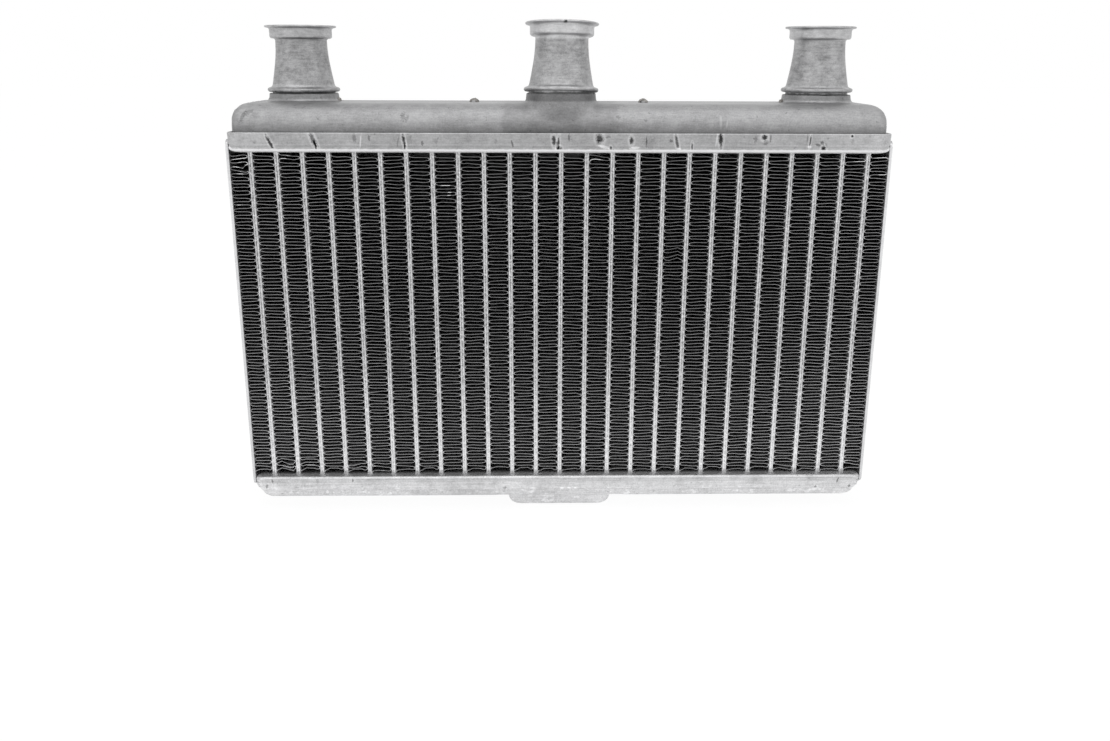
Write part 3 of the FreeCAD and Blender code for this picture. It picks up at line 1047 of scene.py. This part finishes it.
# Marks on the front of the top tank, the centre neck and the lower header
tank_marks = [
    (-60.5, 163.5, 3.0, 1.6, 0, 0.25), (-59.0, 162.8, 2.2, 0.8, 20, 0.25), (-118.8, 166.0, 5.0, 2.0, 40, 0.3),
    (-121.3, 163.5, 4.0, 1.2, 20, 0.3), (61.2, 161.7, 4.0, 0.9, 0, -0.35), (63.6, 161.1, 2.6, 0.6, 10, -0.3),
]
neck_marks = [
    (1.4, 198.2, 1.0, 1.2, 0, 1.0),
]
low_marks = [
    (-120.2, 14.9, 1.6, 0.7, -10, 0.5), (-122.7, 12.7, 1.6, 0.8, 10, 0.45), (-86.7, 15.1, 1.6, 0.5, 0, 0.6),
    (-23.1, 11.6, 0.9, 1.2, 0, 0.4), (108.6, 11.3, 1.2, 0.8, 0, 0.5), (117.8, 14.4, 1.9, 0.7, 12, 0.6),
    (122.8, 11.6, 1.0, 1.0, 0, 0.6), (-11.3, 11.3, 0.7, 2.2, 0, -0.7), (1.0, 11.4, 0.7, 1.6, 0, -0.7),
    (3.9, 11.4, 0.7, 1.3, 0, -0.8), (6.7, 11.3, 0.7, 1.3, 0, -0.8), (-116.8, 14.0, 1.6, 7.0, 4, 0.12),
    (-105.4, 12.7, 0.9, 5.0, 0, 0.12), (-101.4, 14.9, 2.0, 1.0, 0, 0.2),
]

# Bright edges of bent legs, in the columns of header_marks
glints = [
    (-123.9, 147.6, 1.1, 5.7, 0, -0.5), (-122.9, 145.6, 1.1, 3.7, 0, -0.5),
    (-122.7, 143.3, 1.1, 2.9, 0, -0.5), (-124.2, 141.3, 1.1, 2.4, 0, -0.5),
    (-125.7, 144.3, 1.1, 2.0, 0, -0.5), (-107.3, 148.1, 1.1, 3.7, -8, -0.5),
    (-89.2, 139.8, 1.2, 1.2, 0, -0.5), (-125.2, 129.1, 1.1, 3.3, 0, -0.5),
    (-43.8, 133.2, 1.1, 1.0, 0, -0.5), (-43.6, 134.5, 1.1, 1.1, 0, -0.5),
    (-45.3, 137.1, 1.1, 3.3, 0, -0.5), (13.1, 147.2, 1.1, 4.9, 6, -0.5),
    (117.2, 146.9, 1.1, 4.1, 0, -0.5), (125.8, 148.2, 1.1, 4.9, 0, -0.5),
    (126.8, 141.7, 1.1, 3.3, 0, -0.5), (-113.9, 20.2, 1.1, 4.9, 0, -0.5),
    (-104.2, 20.8, 1.1, 3.3, -14, -0.5), (-79.1, 19.8, 1.1, 4.9, 6, -0.5),
    (-74.1, 18.6, 1.1, 2.4, 0, -0.5), (121.5, 21.4, 1.1, 1.4, 0, -0.5),
]

# Legs bent by hand, as x, z, how far up and down they are bent, and the push forward and upward
bent_legs = [
    (-13.7, 132.6, 0.9, -0.5, 0.3), (-15.2, 133.6, 0.6, -0.4, -0.3), (17.5, 138.4, 0.8, -0.5, -0.2),
    (-2.2, 90.4, 0.7, -0.5, 0.3), (45.7, 110.1, 2.6, -0.3, 0.7), (43.9, 108.6, 1.4, -0.5, -0.4),
    (65.3, 110.0, 0.8, -0.5, 0.2), (-76.3, 53.3, 0.8, -0.5, -0.3), (39.0, 69.4, 0.9, -0.5, 0.3),
    (-51.7, 47.6, 0.8, -0.5, 0.3), (-89.0, 139.4, 0.8, -0.5, 0.2), (-122.9, 146.6, 2.2, -0.3, 0.6),
    (-123.8, 143.6, 1.2, -0.5, -0.5), (-107.4, 147.8, 1.6, -0.4, 0.5), (13.2, 147.7, 1.5, -0.4, 0.6),
    (-113.5, 20.6, 2.2, -0.4, -0.7), (-115.7, 22.0, 1.4, -0.4, 0.6), (-104.8, 21.3, 1.8, -0.3, 0.5),
    (-88.3, 20.3, 1.6, -0.4, -0.6), (-77.4, 20.6, 1.2, -0.4, 0.4), (121.5, 21.0, 1.6, -0.4, 0.5),
    (98.2, 19.2, 1.4, -0.4, -0.5),
]

# Lumps of weld metal, as name, place and size in millimetres
weld_lumps = [
    ("weld_left_tab", (-34.4, 0.0, 168.3), (2.2, 4.6, 0.8)),
    ("weld_right_tab", (33.3, 0.0, 168.3), (2.2, 4.6, 0.8)),
    ("weld_left_neck", (-89.0, 3.0, 168.5), (1.3, 2.0, 1.3)),
    ("weld_right_neck", (89.9, 3.0, 168.4), (1.2, 2.0, 1.1)),
]

tank_grey = tank_finish()
header_grey = header_finish()
low_grey = lower_finish()
tube_grey = tube_finish()
plate_grey = plate_finish()
fin_grey = fin_finish()
neck_grey = neck_finish()
weld_grey = lump_finish()

dress(top_tank(), tank_grey, "tank", "top_tank")
dress(bottom_tank(), low_grey, "tank", "bottom_tank")
dress(header("header_top", "top_header", True), header_grey, "header", "top_header")
dress(header("header_bottom", "bottom_header", False), low_grey, "header", "bottom_header")
for number, tube in enumerate(flat_tubes(), 1):
    dress(tube, tube_grey, "tube", f"tube_{number:02d}")
for number, column in enumerate(fin_columns(), 1):
    dress(column, fin_grey, "fin", f"fin_{number:02d}")
for neck, node in necks():
    dress(neck, neck_grey, "neck", node)
for plate in side_plates():
    dress(plate, plate_grey, "side_plate", "side_plates")
for wall in baffles():
    dress(wall, tank_grey, "tank", "baffles")
for name, place, size in weld_lumps:
    dress(lump(name, Vector(place) * mm, Vector(size) * mm), weld_grey, "tank")

floor()
world()
lights()
camera()
bpy.context.scene.view_settings.view_transform = "Standard"
